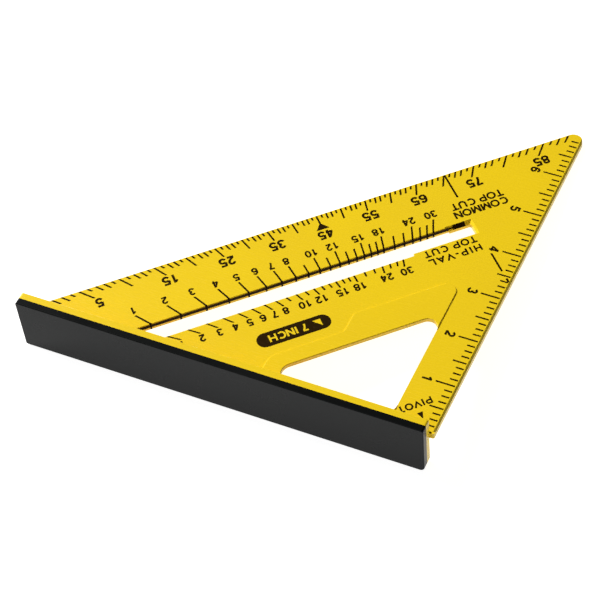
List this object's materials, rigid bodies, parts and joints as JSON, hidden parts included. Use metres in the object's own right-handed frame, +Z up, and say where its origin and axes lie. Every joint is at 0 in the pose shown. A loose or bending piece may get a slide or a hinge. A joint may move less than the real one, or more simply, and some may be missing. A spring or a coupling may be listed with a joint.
{
  "type": "speed square",
  "caption": "Plastic rafter layout square: right-angled triangular plate with marking slot and cut-out, and a full-length T fence with a black cap.",
  "frame": {"origin": "the pivot point: the corner of the plate's top face where the ruler edge's zero meets the fence's bearing face", "axes": "+X out of the ruler edge, with the fence running along -X; +Y along the ruler edge away from the fence; +Z up, square to the plate, with the printed side up"},
  "size_m": [0.1882, 0.1859, 0.0264],
  "materials": {
    "yellow_plastic": "smooth moulded plastic, satin to gloss, with black printed scales",
    "black_plastic": "fine-textured satin black plastic"
  },
  "bodies": {
    "root": {"square_body": "yellow_plastic", "fence_cap": "black_plastic"}
  },
  "joints": []
}
